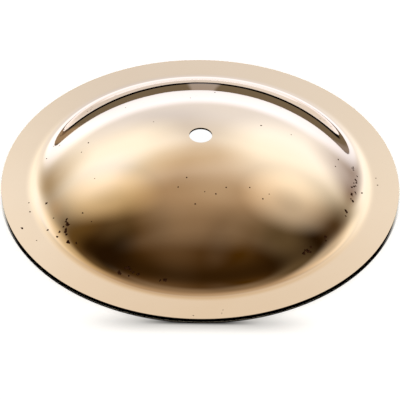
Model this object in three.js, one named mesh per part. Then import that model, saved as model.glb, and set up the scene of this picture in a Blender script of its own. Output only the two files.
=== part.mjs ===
// Bell cymbal: one casting of bell bronze, turned and polished, that is all dome and hardly any bow.
// Millimetres, +Z up along the axis. The origin is the centre of the plane that the flange rests on.

import * as THREE from 'three';

// Driving dimensions
const rimDiameter = 241.3; // 9.5 inches across
const holeDiameter = 13.5; // drops over the sleeve of a cymbal stand
const flangeWidth = 14.6; // flat ring from the rim to the start of the fillet
const filletRadius = 16.4; // hollow curve between flange and dome, on the upper face
const steepestSlope = THREE.MathUtils.degToRad(38.2); // where the dome turns over into the fillet
const rimWall = 2.6; // thickness of the flange and its edge
const holeWall = 1.8; // thickness at the stand hole
const rimBreak = 0.3; // bevel on both corners of the rim
const holeBreak = 0.2; // bevel on both corners of the hole

// Facets
const sidesRound = 96;
const domeSteps = 12;
const filletSteps = 5;

// Colour and finish
const bronzeColour = 0xd2a873;
const bronzeRoughness = 0.16;
const bronzeMetalness = 1;

const rimRadius = rimDiameter / 2;
const holeRadius = holeDiameter / 2;
const flangeInnerRadius = rimRadius - flangeWidth;
const turnoverRadius = flangeInnerRadius - filletRadius * Math.sin(steepestSlope);
const domeRadius = turnoverRadius / Math.sin(steepestSlope);
const turnoverHeight = rimWall + filletRadius * (1 - Math.cos(steepestSlope));
const domeCentreHeight = turnoverHeight - domeRadius * Math.cos(steepestSlope);
const holeSlope = Math.asin(holeRadius / domeRadius);

// Wall at a radius: it thickens evenly from the hole to the flange, and the flange is all one thickness.
function wallAt(radius) {
  const t = (radius - holeRadius) / (flangeInnerRadius - holeRadius);
  return THREE.MathUtils.lerp(holeWall, rimWall, THREE.MathUtils.clamp(t, 0, 1));
}

// A point on the dome's upper face, where the face falls away from level by the given slope.
function domePoint(slope) {
  return { r: domeRadius * Math.sin(slope), z: domeCentreHeight + domeRadius * Math.cos(slope), slope };
}

// A point on the fillet's upper face, which is level again where it meets the flange.
function filletPoint(slope) {
  return {
    r: flangeInnerRadius - filletRadius * Math.sin(slope),
    z: rimWall + filletRadius * (1 - Math.cos(slope)),
    slope,
  };
}

// The upper face from the hole out to the start of the flange.
function upperFace() {
  const points = [];
  for (let i = 0; i <= domeSteps; i++) {
    points.push(domePoint(THREE.MathUtils.lerp(holeSlope, steepestSlope, i / domeSteps)));
  }
  for (let i = 1; i <= filletSteps; i++) {
    points.push(filletPoint(steepestSlope * (1 - i / filletSteps)));
  }
  return points;
}

// The point of the lower face that lies straight through the wall from a point of the upper face.
function throughWall({ r, z, slope }) {
  const wall = wallAt(r);
  return new THREE.Vector2(r - wall * Math.sin(slope), z - wall * Math.cos(slope));
}

// The bore's wall, bottom to top, with both corners bevelled. The bore is upright, so the lower face ends
// where it meets the bore and not straight through the wall.
function holeOutline(upper, lower) {
  const top = upper[0];
  const [inner, outer] = lower;
  const fall = (outer.y - inner.y) / (outer.x - inner.x);
  const lowerAt = (r) => inner.y + fall * (r - inner.x);
  const upperAt = (r) => domePoint(Math.asin(r / domeRadius)).z;
  return [
    new THREE.Vector2(holeRadius + holeBreak, lowerAt(holeRadius + holeBreak)),
    new THREE.Vector2(holeRadius, lowerAt(holeRadius) + holeBreak),
    new THREE.Vector2(holeRadius, top.z - holeBreak),
    new THREE.Vector2(holeRadius + holeBreak, upperAt(holeRadius + holeBreak)),
  ];
}

// The rim's edge, top to bottom, with both corners bevelled.
function rimOutline() {
  return [
    new THREE.Vector2(rimRadius - rimBreak, rimWall),
    new THREE.Vector2(rimRadius, rimWall - rimBreak),
    new THREE.Vector2(rimRadius, rimBreak),
    new THREE.Vector2(rimRadius - rimBreak, 0),
  ];
}

// Half section of the cymbal: x is the distance from the axis and y the height.
function halfSection() {
  const upper = upperFace();
  const lower = upper.map(throughWall);
  const outline = [
    ...holeOutline(upper, lower),
    ...upper.slice(1).map(({ r, z }) => new THREE.Vector2(r, z)),
    ...rimOutline(),
    ...lower.slice(1).reverse(),
  ];
  outline.push(outline[0].clone());
  return outline;
}

function bellCymbal() {
  // The lathe turns about +Y and takes the section anticlockwise, so the section is reversed and stood up.
  const geometry = new THREE.LatheGeometry(halfSection().reverse(), sidesRound);
  geometry.rotateX(Math.PI / 2);
  const bronze = new THREE.MeshStandardMaterial({
    color: bronzeColour,
    roughness: bronzeRoughness,
    metalness: bronzeMetalness,
  });
  const mesh = new THREE.Mesh(geometry, bronze);
  mesh.name = 'bell_cymbal';
  return mesh;
}

const model = new THREE.Group();
model.add(bellCymbal());

export default model;
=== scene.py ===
"""Bell cymbal: one polished bronze casting with its casting pits, on a white studio floor."""

import math
import random
from bisect import bisect_right
from collections import namedtuple

import bpy
from bpy.props import FloatProperty, FloatVectorProperty, IntProperty, PointerProperty
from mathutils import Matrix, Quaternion, Vector
from mathutils.geometry import delaunay_2d_cdt


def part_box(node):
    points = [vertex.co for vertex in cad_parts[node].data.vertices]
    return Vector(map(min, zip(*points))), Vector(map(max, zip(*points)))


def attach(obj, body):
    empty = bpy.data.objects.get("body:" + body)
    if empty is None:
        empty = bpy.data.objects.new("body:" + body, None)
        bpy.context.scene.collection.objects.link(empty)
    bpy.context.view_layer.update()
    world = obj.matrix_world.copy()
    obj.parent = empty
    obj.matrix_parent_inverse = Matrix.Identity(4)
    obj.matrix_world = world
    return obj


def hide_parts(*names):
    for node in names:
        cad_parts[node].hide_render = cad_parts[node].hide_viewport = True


bl_info = {
    "name": "Bell Cymbal",
    "version": (1, 0, 0),
    "blender": (4, 5, 0),
    "location": "3D View > Sidebar > Bell Cymbal",
    "description": "Builds a cast bell cymbal, its polish and its casting pits, and a studio for it",
    "category": "Add Mesh",
}

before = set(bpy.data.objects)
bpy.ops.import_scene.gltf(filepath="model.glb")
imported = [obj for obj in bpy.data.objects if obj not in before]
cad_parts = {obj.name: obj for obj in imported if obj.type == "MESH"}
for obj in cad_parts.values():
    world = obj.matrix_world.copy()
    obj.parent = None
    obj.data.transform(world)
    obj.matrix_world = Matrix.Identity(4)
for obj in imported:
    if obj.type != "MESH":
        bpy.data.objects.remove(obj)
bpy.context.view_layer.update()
RIM_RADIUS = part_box("bell_cymbal")[1][0]
MM = 0.001

# How finely the mesh is divided: rings on the upper face and the underside, and steps round corners.
DOME_RINGS, HOLLOW_RINGS, FLANGE_RINGS = 50, 28, 8
UNDER_DOME_RINGS, UNDER_HOLLOW_RINGS, UNDER_FLANGE_RINGS = 40, 22, 6
RIM_CORNER_STEPS, HOLE_CORNER_STEPS = 6, 4

# Half the step over which a slope is measured on a finished surface.
NUDGE = 0.02 * MM

STRAY_PIT_SEED = 7
PIT_SHAPE_SEED = 3

# The camera's sensor in millimetres, how far it sees in metres, the height of the rim it aims at, and the
# shift that puts the cymbal where the photograph has it, as a share of the picture's width.
SENSOR_WIDTH = 36.0
FARTHEST_SEEN = 50.0
RIM_HEIGHT = 2.6 * MM
PICTURE_SHIFT = (-0.00056, -0.0463)

# One point of the cymbal's half section: distance from the axis, height, and the outward normal there.
SectionPoint = namedtuple("SectionPoint", "radius height normal_out normal_up")

# A casting pit: distance from the axis and width in millimetres, bearing in degrees from +X, and depth
# as a share of the width.
Pit = namedtuple("Pit", "radius bearing width depth")

# A soft light of the studio, as the cymbal sees it. Azimuth is measured from +Y towards +X. All angles
# are in degrees, and squareness 2 is an ellipse.
SoftLight = namedtuple(
    "SoftLight",
    "name azimuth elevation half_width half_height side_blur top_blur strength colour squareness",
    defaults=(2,),
)

# A soft light's angles, by the names of the node group's inputs.
LIGHT_ANGLES = ("Azimuth", "Elevation", "Half Width", "Half Height", "Side Blur", "Top Blur")

COOL = (0.95, 1.0, 1.03)
BLUE = (0.87, 1.0, 1.45)
SKY = (0.2, 0.6, 1.6)
CREAM = (1.0, 1.0, 0.88)
PALE_GOLD = (1.2, 1.0, 0.76)
DEEP_GOLD = (1.4, 1.0, 0.5)
WARM = (1.43, 1.0, 0.61)
BROWN = (1.74, 1.0, 0.27)
RUST = (2.06, 1.0, 0.22)
EMBER = (2.17, 1.0, 0.22)
GREY = (1.1, 1.0, 1.05)

# Lights above the horizon, as the photograph's view mirrors them.
SOFT_LIGHTS = [
    SoftLight("back wall", 0, 25, 45, 31, 9, 17, 0.79, COOL, 2.4),
    SoftLight("warm edge of the back wall", 0, 26, 55, 30, 8, 12, 0.10, BROWN, 2.6),
    SoftLight("left shoulder", -39, 34, 21, 20, 9, 14, 0.37, CREAM),
    SoftLight("right shoulder", 37, 31, 20, 21, 7, 14, 0.36, CREAM),
    SoftLight("cool middle of the left shoulder", -43, 38, 8, 8, 7, 7, 0.09, SKY),
    SoftLight("left end of the shoulder", -72, 36, 7, 9, 6, 7, 0.062, BROWN),
    SoftLight("top of the left shoulder", -36, 54, 10, 7, 8, 7, 0.05, DEEP_GOLD),
    SoftLight("left of the flange's light", -9, 41, 5, 6, 6, 6, 0.09, COOL),
    SoftLight("glow at the foot of the wall", 0, -1, 36, 12, 9, 4, 0.46, BLUE),
    SoftLight("bright line at the foot of the wall", 0, -4, 34, 6, 8, 4, 0.14, CREAM, 3),
    SoftLight("bright left end of the foot", -30, -1, 9, 9, 6, 5, 0.30, COOL),
    SoftLight("cool tint above the foot", 14, 17, 34, 15, 10, 10, 0.10, SKY),
    SoftLight("cool light low on the left", -24, 12, 7, 9, 5, 6, 0.06, BLUE),
    SoftLight("ceiling bounce", 8, 70.5, 24, 19.5, 10, 15, 0.31, WARM, 2.4),
    SoftLight("middle of the ceiling bounce", 14, 74, 9, 5, 8, 5, 0.05, CREAM),
    SoftLight("right end of the ceiling bounce", 22, 62, 12, 10, 10, 8, 0.08, CREAM),
    SoftLight("right corner", 58, 49, 12, 14, 6, 8, 0.48, PALE_GOLD),
    SoftLight("right foot", 68, 34, 8, 7, 6, 6, 0.016, RUST),
    SoftLight("right side", 89, 55, 8, 10, 6, 8, 0.068, DEEP_GOLD),
    SoftLight("left corner", -56, 46, 10, 17, 5, 10, 0.33, DEEP_GOLD),
    SoftLight("top of the left corner", -60, 57, 16, 12, 7, 8, 0.045, DEEP_GOLD),
    SoftLight("left foot", -66, 17, 8, 8, 6, 6, 0.18, RUST),
    SoftLight("left side", -78, 51, 6, 11, 6, 7, 0.018, RUST),
    SoftLight("top of the left side", -87, 66, 9, 5, 8, 6, 0.022, RUST),
    SoftLight("left ceiling", -112, 77, 14, 9, 12, 8, 0.042, WARM),
    SoftLight("right ceiling", 106, 71, 8, 6, 7, 6, 0.018, BROWN),
    SoftLight("pale right ceiling", 120, 76, 12, 5, 8, 4, 0.034, PALE_GOLD),
    SoftLight("front ceiling", 180, 79, 27, 11.5, 11, 8, 0.024, EMBER),
    SoftLight("zenith", 180, 84, 30, 5, 10, 4, 0.04, PALE_GOLD),
]

# Shades on the back wall take light away, so their strengths are negative.
WALL_SHADES = [
    SoftLight("shade in the middle of the wall", -5, 30, 7, 13, 8, 8, -0.13, CREAM),
    SoftLight("shade above the middle", -8, 52, 18, 7, 9, 5, -0.16, (0.8, 1.0, 1.3)),
    SoftLight("shade left of the middle", -20, 19, 10, 8, 6, 6, -0.10, CREAM),
    SoftLight("shade at the left foot", -43, 15, 7, 8, 6, 6, -0.34, (0.86, 1.0, 1.15)),
    SoftLight("shade at the right foot", 45, 10, 13, 10, 7, 6, -0.47, (0.92, 1.0, 1.0)),
    SoftLight("shade at the right of the ceiling", 92, 77, 12, 8, 8, 6, -0.05, WARM),
]

# Walls that the photograph's view doesn't mirror. They light the cymbal's other sides.
OTHER_WALLS = [
    SoftLight("front wall", 180, 26, 36, 16, 12, 10, 0.75, CREAM, 3),
    SoftLight("left wall", -98, 12, 22, 10, 6, 5, 0.75, CREAM, 3),
    SoftLight("right wall", 98, 12, 22, 10, 6, 5, 0.75, CREAM, 3),
]

# Lights below the horizon, past the table's ends and under the cymbal.
LOW_LIGHTS = [
    SoftLight("gap in the table", 0.3, -9, 1.8, 9, 0.4, 1.0, 0.21, GREY, 6),
    SoftLight("left end of the table", -24.5, -6, 3.2, 6, 1.0, 2, 1.0, (0.19, 0.12, 0.07)),
    SoftLight("right end of the table", 28.5, -2, 2.5, 4, 1.5, 2, 1.0, (0.12, 0.11, 0.13)),
    SoftLight("white floor to the left", -48, -6, 18, 7, 2.0, 3, 1.1, CREAM, 3),
    SoftLight("white floor to the right", 51, -6, 18, 7, 2.0, 3, 1.1, CREAM, 3),
    SoftLight("light from below", 0, -90, 36, 36, 8, 8, 0.8, CREAM),
    SoftLight("low light from behind", 0, -44, 20, 14, 6, 6, 0.6, CREAM),
]

# Pits of the near half, from the left round to the right. They gather at the foot of the dome.
NEAR_PIT_MEASURES = (
    (72, 177, 0.6, 0.4), (105, 192, 0.6, 0.3), (95.5, 196, 1.1, 0.5), (106, 196.5, 0.8, 0.4),
    (67, 200.5, 0.5, 0.3), (114.5, 203, 1.0, 0.4), (95.5, 204.5, 0.6, 0.3), (101.5, 207.5, 0.9, 0.4),
    (90.5, 209.5, 1.1, 0.5), (91.5, 210, 1.0, 0.4), (111, 210, 0.5, 0.3), (94, 211, 1.0, 0.4),
    (97, 211.5, 0.9, 0.4), (91.7, 211.5, 1.6, 0.5), (94, 212.7, 1.2, 0.4), (99.7, 212.5, 1.0, 0.4),
    (94.8, 213.4, 1.4, 0.5), (82.5, 213, 0.8, 0.4), (95.4, 214.6, 1.2, 0.5), (97.5, 217.5, 1.8, 0.5),
    (82.5, 219.5, 0.5, 0.3), (95.2, 220.5, 1.0, 0.4), (97.4, 241.5, 1.5, 0.4), (94.2, 242.8, 1.1, 0.4),
    (93.6, 243.8, 1.5, 0.4), (94.2, 245, 1.0, 0.3), (94.8, 246.2, 1.0, 0.3), (95, 248.2, 1.3, 0.4),
    (97.2, 245.2, 0.8, 0.3), (43, 252.5, 0.6, 0.4), (35.5, 257, 0.7, 0.4), (95.6, 256.4, 0.8, 0.3),
    (95, 258, 1.5, 0.4), (52.5, 267, 0.8, 0.4), (118, 268.5, 0.5, 0.3), (44.5, 273.5, 0.5, 0.4),
    (116.5, 276.5, 0.4, 0.3), (114, 277, 0.4, 0.3), (46.5, 281.5, 0.7, 0.4), (43.5, 290.5, 0.7, 0.4),
    (48.5, 307, 0.6, 0.4), (58, 309.5, 0.7, 0.4), (93, 311, 1.4, 0.5), (92.2, 312.2, 0.9, 0.4),
    (93.2, 313, 1.5, 0.5), (94.2, 313.7, 1.0, 0.4), (92.3, 315, 1.2, 0.4), (57.5, 315, 0.5, 0.3),
    (92.7, 323, 1.4, 0.5), (94.2, 322, 0.8, 0.4), (93, 339.6, 1.5, 0.5), (94, 337.5, 0.7, 0.3),
    (94.2, 346.4, 1.5, 0.5), (92.9, 346.8, 0.7, 0.3), (92.6, 349, 1.2, 0.5), (92.8, 349.7, 0.9, 0.4),
    (94.5, 351.5, 0.9, 0.4), (98.3, 353.2, 0.9, 0.4), (92, 353, 0.9, 0.3), (93.3, 354.2, 1.1, 0.4),
    (94.2, 355, 0.9, 0.3), (93, 356, 0.8, 0.3), (94.6, 357, 1.1, 0.4), (94.2, 358.3, 1.2, 0.4),
    (107.6, 359, 0.7, 0.3), (81.5, 359.7, 0.7, 0.4), (95.2, 1, 0.8, 0.3), (107, 2.5, 0.6, 0.3),
    (93.2, 3.6, 0.8, 0.3), (92.4, 4.3, 0.7, 0.3), (93.4, 4.9, 0.8, 0.3), (84, 5.5, 0.8, 0.4),
    (56.5, 14.5, 0.5, 0.4),
)
NEAR_PITS = [Pit(*measures) for measures in NEAR_PIT_MEASURES]


def length_setting(name, description, millimetres):
    """A length that a user can change."""
    return FloatProperty(name=name, description=description, default=millimetres * MM, unit="LENGTH")


def angle_setting(name, description, degrees):
    """An angle that a user can change."""
    default = math.radians(degrees)
    return FloatProperty(name=name, description=description, default=default, unit="ROTATION")


def factor_setting(name, description, default):
    """A share from 0 to 1 that a user can change."""
    return FloatProperty(
        name=name, description=description, default=default, min=0.0, max=1.0, subtype="FACTOR"
    )


def colour_setting(name, description, default):
    """A colour that a user can change."""
    return FloatVectorProperty(
        name=name, description=description, default=default, size=3, min=0.0, max=1.0, subtype="COLOR"
    )


class BellCymbalSizes(bpy.types.PropertyGroup):
    """Sizes of the casting. Rim and place come from the frame."""

    dome_radius: length_setting("Dome Radius", "Radius of the dome's round upper face", 155.0)
    fillet_radius: length_setting("Fillet Radius", "Radius of the hollow where it is tightest", 11.5)
    turning_in: length_setting("Turning In", "Length over which the dome eases into the hollow", 16.0)
    turning_out: length_setting("Turning Out", "Length over which the hollow eases out again", 4.42)
    flange_slope: angle_setting("Flange Slope", "Fall of the flange's upper face towards the rim", 1.25)
    hole_radius: length_setting("Hole Radius", "Radius of the hole for the cymbal stand", 6.9)
    rim_wall: length_setting("Rim Wall", "Thickness of the flange and its edge", 2.6)
    hole_wall: length_setting("Hole Wall", "Thickness at the stand hole", 1.2)
    rim_rounding: length_setting("Rim Rounding", "Radius on both corners of the rim", 0.15)
    hole_rounding: length_setting("Hole Rounding", "Radius on both corners of the hole", 0.1)
    segments: IntProperty(
        name="Segments", description="Number of sides round the axis", default=288, min=32, max=400
    )
    stray_pits: IntProperty(
        name="Stray Pits", description="Pits strewn over the far half", default=44, min=0, max=200
    )


class BellCymbalFinish(bpy.types.PropertyGroup):
    """Colours and polish of the bronze."""

    bronze: colour_setting("Bronze", "Colour of the polished bronze", (0.86, 0.74, 0.60))
    aged_bronze: colour_setting(
        "Aged Bronze", "Colour of the bronze where it has begun to tone", (0.84, 0.70, 0.54)
    )
    pit_tarnish: colour_setting("Pit Tarnish", "Colour of the casting pits", (0.055, 0.02, 0.009))
    polish: factor_setting("Polish", "Roughness of the buffed upper face", 0.02)
    haze: factor_setting("Haze", "How much rougher the upper face is where it is smudged", 0.03)
    turned: factor_setting("Turned Finish", "Roughness of the underside, which is turned and left", 0.34)


class BellCymbalStudio(bpy.types.PropertyGroup):
    """The floor, the lights and the camera."""

    floor_colour: colour_setting("Floor Colour", "Colour of the studio floor", (0.92, 0.94, 0.96))
    # The painted pool of shade under the near rim dims this glow too.
    floor_glow: factor_setting("Floor Glow", "Part of the floor's white that no shadow takes away", 0.38)
    table_colour: colour_setting(
        "Table Colour", "Colour of the table that the dome mirrors below the wall", (0.185, 0.14, 0.088)
    )
    room_colour: colour_setting("Room Colour", "Colour of the unlit room", (0.019, 0.008, 0.0016))
    shadow_lamp: FloatProperty(
        name="Shadow Lamp", description="Strength of the broad lamp overhead", default=1.2, min=0.0
    )
    camera_distance: length_setting("Camera Distance", "From the camera to the rim's middle", 1500.0)
    camera_height: angle_setting("Camera Height", "Angle of the camera above the flange's plane", 40.52)
    camera_roll: angle_setting("Camera Roll", "Turn of the camera about its view", 0.66)
    lens: FloatProperty(name="Lens", description="Focal length in millimetres", default=222.25, min=1.0)


def outward(bearing):
    """Level direction away from the axis."""
    return Vector((math.cos(bearing), math.sin(bearing), 0.0))


class Section:
    """The cymbal's half section, worked out from the sizes. The upper face is measured by the path along
    it from the axis: a round dome, a hollow whose curve tightens and eases again, and the flange."""

    STEP = 0.05 * MM

    def __init__(self, sizes):
        self.sizes = sizes
        self.rim_radius = RIM_RADIUS
        bend = 1 / sizes.dome_radius + 1 / sizes.fillet_radius
        turned = bend * sizes.turning_in / 3 + sizes.turning_out / sizes.fillet_radius / 2
        self.path_turn = sizes.dome_radius * (sizes.flange_slope + turned) - sizes.turning_in
        self.path_flange = self.path_turn + sizes.turning_in + sizes.turning_out
        self.bend = bend

        count = round(self.path_flange / self.STEP)
        self.step = self.path_flange / count
        self.radii, self.heights = [0.0], [0.0]
        for i in range(count):
            slope = self.slope((i + 0.5) * self.step)
            self.radii.append(self.radii[-1] + self.step * math.cos(slope))
            self.heights.append(self.heights[-1] - self.step * math.sin(slope))
        self.flange_inner = self.radii[-1]
        self.flange_fall = math.tan(sizes.flange_slope)
        self.flange_top = sizes.rim_wall + (self.rim_radius - self.flange_inner) * self.flange_fall
        drop = self.heights[-1] - self.flange_top
        self.heights = [height - drop for height in self.heights]
        self.path_start = self.path_at(sizes.hole_radius + sizes.hole_rounding)
        self.path_end = self.path_flange + self.rim_radius - self.flange_inner - sizes.rim_rounding

    def slope(self, path):
        """Slope of the upper face at a distance along it."""
        sizes = self.sizes
        if path <= self.path_turn:
            return path / sizes.dome_radius
        if path <= self.path_turn + sizes.turning_in:
            share = (path - self.path_turn) / sizes.turning_in
            return path / sizes.dome_radius - self.bend * sizes.turning_in * share**3 / 3
        share = max((self.path_flange - path) / sizes.turning_out, 0.0)
        return sizes.flange_slope + sizes.turning_out / sizes.fillet_radius / 2 * share * share

    def upper(self, path):
        """Radius, height and slope of the upper face at a distance along it."""
        if path >= self.path_flange:
            along = path - self.path_flange
            height = self.flange_top - along * self.flange_fall
            return self.flange_inner + along, height, self.sizes.flange_slope
        number = min(int(path / self.step), len(self.radii) - 2)
        share = path / self.step - number
        radius = self.radii[number] + (self.radii[number + 1] - self.radii[number]) * share
        height = self.heights[number] + (self.heights[number + 1] - self.heights[number]) * share
        return radius, height, self.slope(path)

    def lower(self, path):
        """Radius and height of the lower face straight through the wall from the upper face."""
        radius, height, slope = self.upper(path)
        share = (radius - self.sizes.hole_radius) / (self.flange_inner - self.sizes.hole_radius)
        share = min(max(share, 0.0), 1.0)
        wall = self.sizes.hole_wall + (self.flange_top - self.sizes.hole_wall) * share
        if share == 1.0:
            return radius, 0.0
        return radius - wall * math.sin(slope), max(height - wall * math.cos(slope), 0.0)

    def path_at(self, radius):
        """Distance along the upper face to a radius."""
        if radius >= self.flange_inner:
            return self.path_flange + radius - self.flange_inner
        number = bisect_right(self.radii, radius) - 1
        share = (radius - self.radii[number]) / (self.radii[number + 1] - self.radii[number])
        return (number + share) * self.step

    def point(self, path, bearing):
        """Place on the upper face and its outward normal."""
        radius, height, slope = self.upper(path)
        out = outward(bearing)
        normal = out * math.sin(slope) + Vector((0.0, 0.0, math.cos(slope)))
        return out * radius + Vector((0.0, 0.0, height)), normal


def steps(start, end, count):
    """Evenly spaced values from start to end, both included."""
    return [start + (end - start) * i / count for i in range(count + 1)]


def upper_paths(section):
    """Distances along the upper face at which it has a ring of vertices."""
    dome = steps(section.path_start, section.path_turn, DOME_RINGS)
    hollow = steps(section.path_turn, section.path_flange, HOLLOW_RINGS)
    flange = steps(section.path_flange, section.path_end, FLANGE_RINGS)
    return dome + hollow[1:] + flange[1:]


def corner(radius, height, rounding, start, turn, count):
    """Section points round a corner whose centre is given, from the start angle on by the turn. The two
    ends are left out."""
    points = []
    for i in range(1, count):
        angle = start + turn * i / count
        out, up = math.cos(angle), math.sin(angle)
        points.append(SectionPoint(radius + rounding * out, height + rounding * up, out, up))
    return points


def lower_face(section):
    """Section points of the underside, from the flange in to the hole."""
    sizes = section.sizes
    clear_of_rim = 0.1 * MM
    paths = steps(section.path_end - clear_of_rim, section.path_flange, UNDER_FLANGE_RINGS)
    paths += steps(section.path_flange, section.path_turn, UNDER_HOLLOW_RINGS)[1:]
    paths += steps(section.path_turn, section.path_start, UNDER_DOME_RINGS)[1:]
    points = []
    for path in paths:
        before = section.lower(path + NUDGE)
        after = section.lower(path - NUDGE)
        along = Vector((after[0] - before[0], after[1] - before[1])).normalized()
        radius, height = section.lower(path)
        if radius > sizes.hole_radius + sizes.hole_rounding:
            points.append(SectionPoint(radius, height, -along.y, along.x))
    return points


def half_section(section):
    """The whole outline after the upper face: rim, underside and bore."""
    sizes = section.sizes
    quarter = math.pi / 2
    rounding = sizes.rim_rounding
    corner_radius = section.rim_radius - rounding
    rim = corner(corner_radius, sizes.rim_wall - rounding, rounding, quarter, -quarter, RIM_CORNER_STEPS)
    rim.append(SectionPoint(section.rim_radius, sizes.rim_wall - rounding, 1.0, 0.0))
    rim.append(SectionPoint(section.rim_radius, rounding, 1.0, 0.0))
    rim += corner(corner_radius, rounding, rounding, 0.0, -quarter, RIM_CORNER_STEPS)
    rim.append(SectionPoint(corner_radius, 0.0, 0.0, -1.0))
    under = [p for p in lower_face(section) if p.radius < corner_radius]

    hole = sizes.hole_radius
    rounding = sizes.hole_rounding
    _, top, slope = section.upper(section.path_start)
    last = under[-1]
    bottom = last.height + (last.radius - hole - rounding) * slope
    bore = [SectionPoint(hole + rounding, bottom, 0.0, -1.0)]
    bore += corner(hole + rounding, bottom + rounding, rounding, -quarter, -quarter, HOLE_CORNER_STEPS)
    bore.append(SectionPoint(hole, bottom + rounding, -1.0, 0.0))
    bore.append(SectionPoint(hole, top - rounding, -1.0, 0.0))
    bore += corner(hole + rounding, top - rounding, rounding, math.pi, -quarter, HOLE_CORNER_STEPS)
    return rim, under, bore


def stray_pits(sizes):
    """Pits strewn over the far half, thickest at the foot of the dome."""
    share_at_foot = 0.7
    foot_radius, foot_spread = 93, 1.6
    dome_radii = (30, 90)
    bearings = (20, 172)
    widths = (0.4, 0.8)
    depths = (0.25, 0.4)
    chance = random.Random(STRAY_PIT_SEED)
    pits = []
    for _ in range(sizes.stray_pits):
        at_foot = chance.random() < share_at_foot
        radius = chance.gauss(foot_radius, foot_spread) if at_foot else chance.uniform(*dome_radii)
        others = [chance.uniform(*limits) for limits in (bearings, widths, depths)]
        pits.append(Pit(radius, *others))
    return pits


class PitShape:
    """One pit laid out on the upper face, with an uneven outline. Shares are measured from its middle,
    and the outline is at 1."""

    HALF_WIDTH = 0.39
    CUP_EDGE = 0.95
    LIP_EDGE = 1.2
    LIP_DEPTH = 0.14
    LOBES = (2, 3, 5)
    RINGS = ((0.35, 6), (0.65, 10), (0.85, 14), (0.97, 16), (1.1, 16), (1.25, 14), (1.7, 10))

    def __init__(self, pit, section, chance):
        self.path = section.path_at(pit.radius * MM)
        self.bearing = math.radians(pit.bearing)
        self.ring_radius = pit.radius * MM
        self.half_width = pit.width * MM * self.HALF_WIDTH
        self.depth = pit.width * MM * pit.depth
        self.stretch = chance.uniform(1.0, 1.6)
        self.turn = chance.uniform(0.0, math.pi)
        self.lobes = [(k, chance.uniform(0.0, 0.2), chance.uniform(0.0, 6.28)) for k in self.LOBES]

    def across(self, path, bearing):
        """Offset of a place on the upper face from the pit's middle, in metres along and round."""
        round_way = (bearing - self.bearing + math.pi) % (2 * math.pi) - math.pi
        return path - self.path, round_way * self.ring_radius

    def edge(self, angle):
        """Distance from the middle to the outline in a direction."""
        wobble = sum(size * math.cos(k * angle + phase) for k, size, phase in self.lobes)
        oval = 1.0 + (self.stretch - 1.0) * math.cos(angle - self.turn) ** 2
        return self.half_width * oval * (1.0 + wobble)

    def share(self, path, bearing):
        """How far out a place is: 0 in the middle and 1 on the outline."""
        along, round_way = self.across(path, bearing)
        return math.hypot(along, round_way) / self.edge(math.atan2(round_way, along))

    def depth_at(self, path, bearing):
        """Depth of the pit at a place: a cup with a steep side and a softened lip."""
        share = self.share(path, bearing)
        if share >= self.LIP_EDGE:
            return 0.0
        if share >= self.CUP_EDGE:
            lip = (self.LIP_EDGE - share) / (self.LIP_EDGE - self.CUP_EDGE)
            return self.depth * self.LIP_DEPTH * lip * lip
        fall = share / self.CUP_EDGE
        return self.depth * (self.LIP_DEPTH + (1.0 - self.LIP_DEPTH) * (1.0 - fall**3))

    def places(self):
        """Places of the pit's own vertices, ring by ring."""
        found = [(self.path, self.bearing)]
        for share, count in self.RINGS:
            for i in range(count):
                angle = 2 * math.pi * (i + 0.5 * (count % 4)) / count
                reach = self.edge(angle) * share
                path = self.path + reach * math.cos(angle)
                found.append((path, self.bearing + reach * math.sin(angle) / self.ring_radius))
        return found


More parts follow.
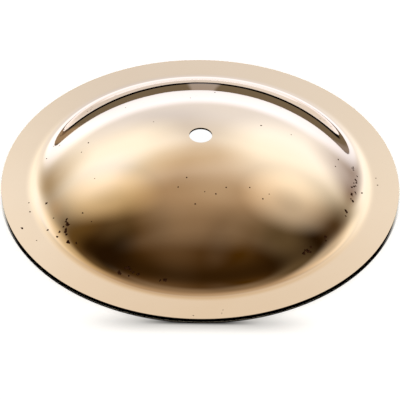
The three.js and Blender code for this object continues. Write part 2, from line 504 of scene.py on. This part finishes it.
class PittedFace:
    """The cymbal's upper face as a mesh, with cells taken out round each pit and filled with the pit."""

    # How far out, as shares, a pit takes cells, clears the grid's corners, keeps others off and is dark.
    CELL_REACH = 2.6
    CORNER_REACH = 1.9
    OVERLAP_REACH = 0.8
    DARK_REACH = 1.45
    DARK_FADE = 0.2
    # Farther than this from its middle no pit changes the surface.
    FARTHEST = 3 * MM
    # Vertices closer together than this become one, in millimetres.
    MERGE = 1e-3

    def __init__(self, section, pits):
        self.section = section
        self.segments = section.sizes.segments
        self.paths = upper_paths(section)
        self.pits = pits
        self.turn = 2 * math.pi / self.segments
        self.places = [(path, seg * self.turn) for path in self.paths for seg in range(self.segments)]
        self.faces = []
        self.fill()

    def cells_of(self, pit):
        """Cells of the grid that a pit needs, as ring and segment numbers."""
        reach = pit.half_width * self.CELL_REACH
        found = set()
        for ring in range(len(self.paths) - 1):
            if self.paths[ring + 1] < pit.path - reach or self.paths[ring] > pit.path + reach:
                continue
            first = math.floor((pit.bearing - reach / pit.ring_radius) / self.turn)
            last = math.floor((pit.bearing + reach / pit.ring_radius) / self.turn)
            found.update((ring, seg % self.segments) for seg in range(first, last + 1))
        return found

    def beside(self, cells, ways):
        """Cells that lie the given ways from the given cells."""
        return {(ring + i, (seg + j) % self.segments) for ring, seg in cells for i, j in ways}

    def groups(self):
        """Pits whose cells touch, gathered, each group with its cells."""
        gathered = []
        for pit in self.pits:
            cells = self.cells_of(pit)
            near = self.beside(cells, [(i, j) for i in (-1, 0, 1) for j in (-1, 0, 1)])
            joined = ([pit], cells)
            rest = []
            for members, others in gathered:
                if near & others:
                    joined = (joined[0] + members, joined[1] | others)
                else:
                    rest.append((members, others))
            gathered = rest + [joined]
        return gathered

    def enclosed(self, cells):
        """Cells that lie outside a group but have the group on all four sides."""
        sides = ((-1, 0), (1, 0), (0, -1), (0, 1))
        around = self.beside(cells, sides) - cells
        return {cell for cell in around if self.beside([cell], sides) <= cells}

    def fill(self):
        """Fills the groups of pits first, then every other cell with one face."""
        taken = set()
        for members, cells in self.groups():
            cells = cells | self.enclosed(cells)
            taken |= cells
            self.fill_group(members, cells)
        for ring in range(len(self.paths) - 1):
            for seg in range(self.segments):
                if (ring, seg) not in taken:
                    self.faces.append(self.cell_corners(ring, seg))

    def cell_corners(self, ring, seg):
        """Numbers of a cell's four vertices, wound to face out."""
        after = (seg + 1) % self.segments
        here, beyond = ring * self.segments, (ring + 1) * self.segments
        return (here + seg, beyond + seg, beyond + after, here + after)

    def fill_group(self, members, cells):
        """Fills the cells with triangles that run through every pit's vertices."""
        middle = members[0]
        edges = {}
        for ring, seg in cells:
            corners = self.cell_corners(ring, seg)
            for a, b in zip(corners, corners[1:] + corners[:1]):
                edges[frozenset((a, b))] = edges.get(frozenset((a, b)), 0) + 1
        border = [tuple(edge) for edge, count in edges.items() if count == 1]
        kept = {corner for cell in cells for corner in self.cell_corners(*cell)}
        on_border = {corner for edge in border for corner in edge}
        indices = [k for k in kept if k in on_border or self.clear(k, members)]
        for pit in members:
            for place in pit.places():
                if all(other is pit or other.share(*place) > self.OVERLAP_REACH for other in members):
                    indices.append(len(self.places))
                    self.places.append(place)
        flat = [Vector(middle.across(*self.places[k])) / MM for k in indices]
        numbers = {k: i for i, k in enumerate(indices)}
        walls = [(numbers[a], numbers[b]) for a, b in border]
        _, _, triangles, merged, _, _ = delaunay_2d_cdt(flat, walls, [], 1, self.MERGE)
        for triangle in triangles:
            self.faces.append(tuple(indices[merged[k][0]] for k in triangle))

    def clear(self, number, members):
        """Whether a vertex of the grid stands well clear of all the given pits."""
        place = self.places[number]
        return all(pit.share(*place) > self.CORNER_REACH for pit in members)

    def depth(self, path, bearing):
        """Depth of the deepest pit at a place."""
        return max((pit.depth_at(path, bearing) for pit in self.near(path, bearing)), default=0.0)

    def near(self, path, bearing):
        """Pits that may reach a place."""
        for pit in self.pits:
            along, round_way = pit.across(path, bearing)
            if abs(along) < self.FARTHEST and abs(round_way) < self.FARTHEST:
                yield pit

    def vertices(self):
        """Place and normal of every vertex, and how dark it is."""
        found = []
        for path, bearing in self.places:
            place, normal = self.section.point(path, bearing)
            near = list(self.near(path, bearing))
            if not near:
                found.append((place, normal, 0.0))
                continue
            depth = self.depth(path, bearing)
            turn = NUDGE / place.xy.length
            along = self.depth(path + NUDGE, bearing) - self.depth(path - NUDGE, bearing)
            round_way = self.depth(path, bearing + turn) - self.depth(path, bearing - turn)
            side = Vector((-math.sin(bearing), math.cos(bearing), 0.0))
            down = side.cross(normal)
            tilted = normal + (down * along + side * round_way) / (2 * NUDGE)
            share = min(pit.share(path, bearing) for pit in near)
            dark = min(max((self.DARK_REACH - share) / self.DARK_FADE, 0.0), 1.0)
            found.append((place - normal * depth, tilted.normalized(), dark))
        return found


def band(first, second, segments):
    """Faces between two rings of vertices, each ring given by its first vertex."""
    sides = [(seg, (seg + 1) % segments) for seg in range(segments)]
    return [(first + seg, second + seg, second + after, first + after) for seg, after in sides]


def turned_mesh(section):
    """The whole casting as one mesh: pitted upper face, rim, underside and bore. Gives back its
    vertices, their normals and how dark they are, its faces, and which of those are polished."""
    chance = random.Random(PIT_SHAPE_SEED)
    pits = [PitShape(pit, section, chance) for pit in NEAR_PITS + stray_pits(section.sizes)]
    upper = PittedFace(section, pits)
    vertices, normals, dark = (list(column) for column in zip(*upper.vertices()))
    faces = list(upper.faces)
    segments = upper.segments
    rim, under, bore = half_section(section)
    previous = (len(upper.paths) - 1) * segments
    polished = []
    for number, point in enumerate(rim + under + bore):
        start = len(vertices)
        for seg in range(segments):
            out = outward(seg * upper.turn)
            vertices.append(out * point.radius + Vector((0.0, 0.0, point.height)))
            normals.append((out * point.normal_out + Vector((0.0, 0.0, point.normal_up))).normalized())
            dark.append(0.0)
        faces += band(previous, start, segments)
        polished.extend([number < len(rim) or number > len(rim) + len(under)] * segments)
        previous = start
    faces += band(previous, 0, segments)
    polished.extend([True] * segments)
    return vertices, normals, dark, faces, [True] * len(upper.faces) + polished


def without_loose(vertices, normals, dark, faces):
    """Drops the vertices that no face uses any more."""
    used = sorted({k for face in faces for k in face})
    numbers = {k: i for i, k in enumerate(used)}
    faces = [tuple(numbers[k] for k in face) for face in faces]
    return [vertices[k] for k in used], [normals[k] for k in used], [dark[k] for k in used], faces


def new_object(name, data):
    """An object in the scene."""
    made = bpy.data.objects.new(name, data)
    bpy.context.scene.collection.objects.link(made)
    return made


def add_node(tree, kind, inputs=None, **settings):
    """Adds a node. Its inputs are given by name or number, each as a socket or as a constant."""
    node = tree.nodes.new("ShaderNode" + kind)
    for name, value in settings.items():
        setattr(node, name, value)
    for key, value in (inputs or {}).items():
        if isinstance(value, bpy.types.NodeSocket):
            tree.links.new(value, node.inputs[key])
        else:
            node.inputs[key].default_value = value
    return node


def new_material(name, surface_of, *settings):
    """A node material whose surface surface_of builds in the new node tree, from the given settings."""
    material = bpy.data.materials.new(name)
    material.use_nodes = True
    tree = material.node_tree
    tree.nodes.clear()
    add_node(tree, "OutputMaterial", {"Surface": surface_of(tree, *settings)})
    return material


def maths(tree, operation, *values):
    """A Math node on sockets or numbers. Gives back its output."""
    return add_node(tree, "Math", dict(enumerate(values)), operation=operation).outputs[0]


def product(tree, first, second):
    """Two sockets or numbers multiplied."""
    return maths(tree, "MULTIPLY", first, second)


def scaled(tree, vector, amount):
    """A vector or colour times a number."""
    return add_node(tree, "VectorMath", {0: vector, "Scale": amount}, operation="SCALE").outputs[0]


def parts(tree, vector):
    """The x, y and z of a vector."""
    return add_node(tree, "SeparateXYZ", {0: vector}).outputs


def mix_colour(tree, share, first, second):
    """Mixes two colours, each given as a socket or as three numbers."""
    first, second = (c if isinstance(c, bpy.types.NodeSocket) else (*c, 1.0) for c in (first, second))
    # A Mix node has its share at input 0, its two colours at 6 and 7 and the mixed colour at output 2.
    return add_node(tree, "Mix", {0: share, 6: first, 7: second}, data_type="RGBA").outputs[2]


def noise(tree, coordinates, scale, detail, roughness=0.5):
    """The value of a Noise Texture on the given coordinates."""
    inputs = {"Vector": coordinates, "Scale": scale, "Detail": detail, "Roughness": roughness}
    return add_node(tree, "TexNoise", inputs).outputs["Fac"]


def ramp(tree, value, low, high):
    """Takes a value from low to high onto 0 to 1, with soft ends."""
    inputs = {"Value": value, "From Min": low, "From Max": high}
    return add_node(tree, "MapRange", inputs, interpolation_type="SMOOTHSTEP").outputs["Result"]


def falling_away(tree, value, near, far):
    """1 where a value is near or less, 0 where it is far or more."""
    return maths(tree, "SUBTRACT", 1.0, ramp(tree, value, near, far))


def bump(tree, height, distance, normal=None):
    """A Bump node, over another normal where one is given. Gives back its normal."""
    inputs = {"Strength": 1.0, "Distance": distance, "Height": height}
    if normal is not None:
        inputs["Normal"] = normal
    return add_node(tree, "Bump", inputs).outputs["Normal"]


def round_coordinates(tree):
    """Object coordinates, and coordinates of a turned surface: x is the distance from the axis."""
    # Once round the axis the coordinates run round a small circle of this radius.
    way_round = 4 * MM
    place = add_node(tree, "TexCoord").outputs["Object"]
    x, y, _ = parts(tree, place)
    bearing = maths(tree, "ARCTAN2", y, x)
    inputs = {
        "X": maths(tree, "SQRT", maths(tree, "MULTIPLY_ADD", y, y, product(tree, x, x))),
        "Y": product(tree, maths(tree, "SINE", bearing), way_round),
        "Z": product(tree, maths(tree, "COSINE", bearing), way_round),
    }
    return place, add_node(tree, "CombineXYZ", inputs).outputs[0]


def polished_bronze(tree, finish):
    """Buffed bell bronze: nearly a mirror, with faint toning, smudges, buffing lines and dark pits."""
    toning, line_roughness, pit_roughness = 0.35, 0.01, 0.4
    place, turned = round_coordinates(tree)
    pit = add_node(tree, "Attribute", attribute_name="pit").outputs["Fac"]

    clouds = ramp(tree, noise(tree, place, scale=18.0, detail=3.0), low=0.35, high=0.75)
    colour = mix_colour(tree, product(tree, clouds, toning), finish.bronze, finish.aged_bronze)
    colour = mix_colour(tree, ramp(tree, pit, low=0.0, high=0.4), colour, finish.pit_tarnish)

    smudges = ramp(tree, noise(tree, place, scale=45.0, detail=4.0, roughness=0.6), low=0.45, high=0.8)
    buffing = noise(tree, turned, scale=1500.0, detail=2.0)
    roughness = maths(tree, "MULTIPLY_ADD", smudges, finish.haze, finish.polish)
    roughness = maths(tree, "MULTIPLY_ADD", buffing, line_roughness, roughness)
    roughness = maths(tree, "MULTIPLY_ADD", pit, pit_roughness, roughness)

    waves = bump(tree, noise(tree, place, scale=30.0, detail=1.0), distance=0.08 * MM)
    inputs = {
        "Base Color": colour,
        "Metallic": falling_away(tree, pit, near=0.4, far=0.9),
        "Roughness": roughness,
        "Normal": bump(tree, buffing, distance=0.0015 * MM, normal=waves),
        "Specular IOR Level": 0.0,
    }
    return add_node(tree, "BsdfPrincipled", inputs).outputs[0]


def turned_bronze(tree, finish):
    """The underside: turned on the lathe and left, with rings from the tool and more toning."""
    toning, ring_roughness, cloud_roughness = 0.8, 0.12, 0.08
    place, turned = round_coordinates(tree)
    clouds = ramp(tree, noise(tree, place, scale=24.0, detail=4.0, roughness=0.6), low=0.3, high=0.75)
    rings = noise(tree, turned, scale=900.0, detail=3.0, roughness=0.6)
    roughness = maths(tree, "MULTIPLY_ADD", rings, ring_roughness, finish.turned - ring_roughness / 2)
    inputs = {
        "Base Color": mix_colour(tree, product(tree, clouds, toning), finish.bronze, finish.aged_bronze),
        "Metallic": 1.0,
        "Roughness": maths(tree, "MULTIPLY_ADD", clouds, cloud_roughness, roughness),
        "Normal": bump(tree, rings, distance=0.03 * MM),
    }
    return add_node(tree, "BsdfPrincipled", inputs).outputs[0]


def seen_from_above(tree, surface):
    """A stage surface that only the camera sees, and only from above. Mirrored rays and views from below
    pass through it."""
    camera_ray = add_node(tree, "LightPath").outputs["Is Camera Ray"]
    above = maths(tree, "SUBTRACT", 1.0, add_node(tree, "NewGeometry").outputs["Backfacing"])
    clear = add_node(tree, "BsdfTransparent").outputs[0]
    inputs = {0: product(tree, camera_ray, above), 1: clear, 2: surface}
    return add_node(tree, "MixShader", inputs).outputs[0]


def glowing_card_under_hole(tree):
    """Plain white light: painted light that glows though it is no lamp, seen through the stand hole where
    the floor under the dome lies in shade.
    """
    return seen_from_above(tree, add_node(tree, "Emission").outputs[0])


def painted_pool_of_shade(tree):
    """Light left on the floor under the near rim by a painted shadow: a soft lens, a dark core where the
    rim touches, and the narrow painted shade that runs along the rim's foot."""
    place = add_node(tree, "TexCoord").outputs["Object"]
    x, y, _ = parts(tree, place)
    sideways = maths(tree, "ABSOLUTE", x)
    beyond = maths(tree, "ABSOLUTE", maths(tree, "ADD", y, RIM_RADIUS))
    radius = add_node(tree, "VectorMath", {0: place}, operation="LENGTH").outputs["Value"]
    # How much light each painted shade takes, and the two measures over which it falls away, from near to
    # far.
    shades = (
        (0.47, (sideways, 26 * MM, 76 * MM), (beyond, -0.5 * MM, 12 * MM)),
        (0.95, (sideways, 10 * MM, 38 * MM), (beyond, 0.1 * MM, 2.9 * MM)),
        (1.0, (radius, RIM_RADIUS + 0.55 * MM, RIM_RADIUS + 1.1 * MM), (y, -60 * MM, -10 * MM)),
    )
    light = 1.0
    for taken, first, second in shades:
        shade = product(tree, falling_away(tree, *first), falling_away(tree, *second))
        light = product(tree, maths(tree, "MULTIPLY_ADD", shade, -taken, 1.0), light)
    return light


def white_floor(tree, studio):
    """Matt white that glows a little, with the painted pool of shade."""
    light = painted_pool_of_shade(tree)
    glow = add_node(tree, "Emission", {"Strength": product(tree, light, studio.floor_glow)})
    colour = mix_colour(tree, light, (0.0, 0.0, 0.0), studio.floor_colour)
    matt = add_node(tree, "BsdfDiffuse", {"Color": colour})
    both = add_node(tree, "AddShader", {0: glow.outputs[0], 1: matt.outputs[0]})
    return seen_from_above(tree, both.outputs[0])


def disc(name, radius, height):
    """A flat round plate facing up."""
    sides = 64
    up = Vector((0.0, 0.0, height))
    rim = [outward(2 * math.pi * i / sides) * radius + up for i in range(sides)]
    mesh = bpy.data.meshes.new(name)
    mesh.from_pydata(rim, [], [tuple(range(sides))])
    return new_object(name, mesh)


def soft_light_group():
    """Node group for one soft light on the studio's walls: an oval patch with blurred edges."""
    group = bpy.data.node_groups.new("Soft Light", "ShaderNodeTree")
    kinds = {"Direction": "Vector", "Colour": "Color"}
    kinds.update((name, "Float") for name in (*LIGHT_ANGLES, "Squareness", "Strength"))
    for name, kind in kinds.items():
        group.interface.new_socket(name, in_out="INPUT", socket_type="NodeSocket" + kind)
    group.interface.new_socket("Light", in_out="OUTPUT", socket_type="NodeSocketVector")
    into = group.nodes.new("NodeGroupInput").outputs
    out = group.nodes.new("NodeGroupOutput").inputs

    facing = into["Direction"]
    lowered = product(group, into["Elevation"], -1.0)
    for axis, angle in (("Z_AXIS", into["Azimuth"]), ("X_AXIS", lowered)):
        inputs = {"Vector": facing, "Angle": angle}
        facing = add_node(group, "VectorRotate", inputs, rotation_type=axis).outputs[0]
    x, y, z = parts(group, facing)
    across = maths(group, "ABSOLUTE", maths(group, "ARCTAN2", x, y))
    across = maths(group, "DIVIDE", across, into["Half Width"])
    along = maths(group, "ABSOLUTE", maths(group, "ARCSINE", z))
    along = maths(group, "DIVIDE", along, into["Half Height"])
    power = into["Squareness"]
    reach = maths(group, "ADD", *(maths(group, "POWER", way, power) for way in (across, along)))
    reach = maths(group, "POWER", reach, maths(group, "DIVIDE", 1.0, power))

    never_zero = 1e-6
    across_square = product(group, across, across)
    along_square = product(group, along, along)
    side_blur = maths(group, "DIVIDE", into["Side Blur"], into["Half Width"])
    top_blur = maths(group, "DIVIDE", into["Top Blur"], into["Half Height"])
    blur = product(group, side_blur, across_square)
    blur = maths(group, "MULTIPLY_ADD", top_blur, along_square, blur)
    squares = maths(group, "ADD", across_square, maths(group, "ADD", along_square, never_zero))
    blur = maths(group, "DIVIDE", blur, squares)
    near, far = maths(group, "SUBTRACT", 1.0, blur), maths(group, "ADD", 1.0, blur)
    amount = product(group, falling_away(group, reach, near, far), into["Strength"])
    group.links.new(scaled(group, into["Colour"], amount), out["Light"])
    return group


def add_light(tree, group, direction, light, so_far):
    """Adds one soft light to the light gathered so far. Gives back the sum."""
    inputs = {"Direction": direction, "Colour": (*light.colour, 1.0)}
    inputs.update({"Squareness": light.squareness, "Strength": light.strength})
    for name in LIGHT_ANGLES:
        inputs[name] = math.radians(getattr(light, name.lower().replace(" ", "_")))
    node = add_node(tree, "Group", inputs, node_tree=group, label=light.name)
    both = {0: node.outputs["Light"], 1: so_far}
    return add_node(tree, "VectorMath", both, operation="ADD").outputs[0]


def studio_world(studio):
    """White to the camera. To everything else, a lit back wall, a dark room and a dark table top. The
    table stands a little askew and its ends look higher than its middle."""
    # How the wall's foot rises sideways, and between which elevations it goes from dark to lit.
    widest, end_rise, askew = 0.5, 0.175, 0.035
    wall_foot = (math.radians(-4.5), math.radians(-4.1))
    # How the table's near edge falls sideways, and between which heights it goes from dark to lit.
    edge_fall, edge_curve = 0.2, 0.5
    near_edge = (-0.290, -0.280)
    world = bpy.data.worlds.new("studio")
    world.use_nodes = True
    tree = world.node_tree
    tree.nodes.clear()
    direction = add_node(tree, "TexCoord").outputs["Generated"]
    group = soft_light_group()
    light = tuple(studio.room_colour)
    for soft_light in SOFT_LIGHTS + WALL_SHADES + OTHER_WALLS:
        light = add_light(tree, group, direction, soft_light, light)

    x, _, z = parts(tree, direction)
    sideways = maths(tree, "MINIMUM", maths(tree, "ABSOLUTE", x), widest)
    rise = product(tree, product(tree, sideways, sideways), end_rise)
    rise = maths(tree, "MULTIPLY_ADD", x, askew, rise)
    height = maths(tree, "SUBTRACT", maths(tree, "ARCSINE", z), rise)
    above = ramp(tree, height, *wall_foot)

    top = SoftLight("table top", 1.5, -8, 28.5, 14, 1.0, 1.5, 1.0, studio.table_colour, 6)
    table = add_light(tree, group, direction, top, (0.0, 0.0, 0.0))
    fall = product(tree, sideways, maths(tree, "MULTIPLY_ADD", sideways, edge_curve, edge_fall))
    edge = maths(tree, "SUBTRACT", z, fall)
    below = scaled(tree, table, ramp(tree, edge, *near_edge))
    for low_light in LOW_LIGHTS:
        below = add_light(tree, group, direction, low_light, below)

    seen = add_node(tree, "Background", {"Color": mix_colour(tree, above, below, light)})
    white = add_node(tree, "Background", {"Color": (1.0, 1.0, 1.0, 1.0)})
    camera_ray = add_node(tree, "LightPath").outputs["Is Camera Ray"]
    choose = add_node(tree, "MixShader", {0: camera_ray, 1: seen.outputs[0], 2: white.outputs[0]})
    add_node(tree, "OutputWorld", {"Surface": choose.outputs[0]})
    bpy.context.scene.world = world


def shadow_lamp(studio):
    """A broad lamp high in front of the cymbal. The metal doesn't mirror it: it only lights the floor."""
    spread, lean = math.radians(35), math.radians(12)
    lamp = bpy.data.lights.new("shadow_lamp", "SUN")
    lamp.energy = studio.shadow_lamp
    lamp.angle = spread
    holder = new_object("shadow_lamp", lamp)
    holder.rotation_euler = (lean, 0.0, 0.0)
    holder.visible_glossy = False


def studio_camera(studio):
    """The photograph's camera: in front, looking down on the middle of the rim."""
    lens = bpy.data.cameras.new("studio_camera")
    lens.sensor_width = SENSOR_WIDTH
    lens.lens = studio.lens
    lens.shift_x, lens.shift_y = PICTURE_SHIFT
    lens.clip_end = FARTHEST_SEEN
    camera = new_object("studio_camera", lens)
    aim = Vector((0.0, 0.0, RIM_HEIGHT))
    back = Vector((0.0, -math.cos(studio.camera_height), math.sin(studio.camera_height)))
    roll = Quaternion((0.0, 0.0, 1.0), studio.camera_roll)
    camera.location = aim + back * studio.camera_distance
    camera.rotation_mode = "QUATERNION"
    camera.rotation_quaternion = back.to_track_quat("Z", "Y") @ roll
    bpy.context.scene.camera = camera


class BellCymbalCasting(bpy.types.Operator):
    """Build the cymbal: dome, fillet, flange, edge, underside, hole and casting pits"""

    bl_idname = "bell_cymbal.casting"
    bl_label = "Cymbal"
    bl_options = {"REGISTER", "UNDO"}

    def execute(self, context):
        section = Section(context.scene.bell_cymbal_sizes)
        finish = context.scene.bell_cymbal_finish
        vertices, normals, dark, faces, polished = turned_mesh(section)
        vertices, normals, dark, faces = without_loose(vertices, normals, dark, faces)
        mesh = bpy.data.meshes.new("cymbal_casting")
        mesh.from_pydata(vertices, [], faces)
        if mesh.validate():
            raise RuntimeError("the cymbal's mesh had faulty faces")
        mesh.materials.append(new_material("polished_bronze", polished_bronze, finish))
        mesh.materials.append(new_material("turned_bronze", turned_bronze, finish))
        mesh.polygons.foreach_set("material_index", [0 if shiny else 1 for shiny in polished])
        mesh.polygons.foreach_set("use_smooth", [True] * len(faces))
        mesh.attributes.new("pit", "FLOAT", "POINT").data.foreach_set("value", dark)
        mesh.normals_split_custom_set_from_vertices(normals)
        casting = new_object("cymbal_casting", mesh)
        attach(casting, "root")
        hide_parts("bell_cymbal")
        return {"FINISHED"}


class BellCymbalStage(bpy.types.Operator):
    """Build the floor, the soft lights and the camera"""

    bl_idname = "bell_cymbal.stage"
    bl_label = "Stage"
    bl_options = {"REGISTER", "UNDO"}

    def execute(self, context):
        studio = context.scene.bell_cymbal_studio
        # The floor's material carries a painted shadow under the near rim.
        floor = disc("floor", radius=6.0, height=0.0)
        floor.data.materials.append(new_material("white_floor", white_floor, studio))
        # A glowing card under the stand hole: painted light where the floor under the dome lies in shade.
        card = disc("glowing_card_under_hole", radius=60 * MM, height=0.4 * MM)
        card.data.materials.append(new_material("glowing_card_under_hole", glowing_card_under_hole))
        studio_world(studio)
        shadow_lamp(studio)
        studio_camera(studio)
        context.scene.view_settings.view_transform = "Standard"
        return {"FINISHED"}


class BellCymbalPanel(bpy.types.Panel):
    """Lists the steps that build the cymbal and its studio"""

    bl_idname = "VIEW3D_PT_bell_cymbal"
    bl_label = "Bell Cymbal"
    bl_space_type = "VIEW_3D"
    bl_region_type = "UI"
    bl_category = "Bell Cymbal"

    def draw(self, context):
        for group in ("bell_cymbal_sizes", "bell_cymbal_finish", "bell_cymbal_studio"):
            settings = getattr(context.scene, group)
            box = self.layout.box()
            for name in settings.__annotations__:
                box.prop(settings, name)
        self.layout.operator(BellCymbalCasting.bl_idname)
        self.layout.operator(BellCymbalStage.bl_idname)


CLASSES = (
    BellCymbalSizes,
    BellCymbalFinish,
    BellCymbalStudio,
    BellCymbalCasting,
    BellCymbalStage,
    BellCymbalPanel,
)


def register():
    for cls in CLASSES:
        bpy.utils.register_class(cls)
    bpy.types.Scene.bell_cymbal_sizes = PointerProperty(type=BellCymbalSizes)
    bpy.types.Scene.bell_cymbal_finish = PointerProperty(type=BellCymbalFinish)
    bpy.types.Scene.bell_cymbal_studio = PointerProperty(type=BellCymbalStudio)


def unregister():
    del bpy.types.Scene.bell_cymbal_studio
    del bpy.types.Scene.bell_cymbal_finish
    del bpy.types.Scene.bell_cymbal_sizes
    for cls in reversed(CLASSES):
        bpy.utils.unregister_class(cls)


def main():
    register()
    bpy.ops.bell_cymbal.casting()
    bpy.ops.bell_cymbal.stage()


if __name__ == "__main__":
    main()
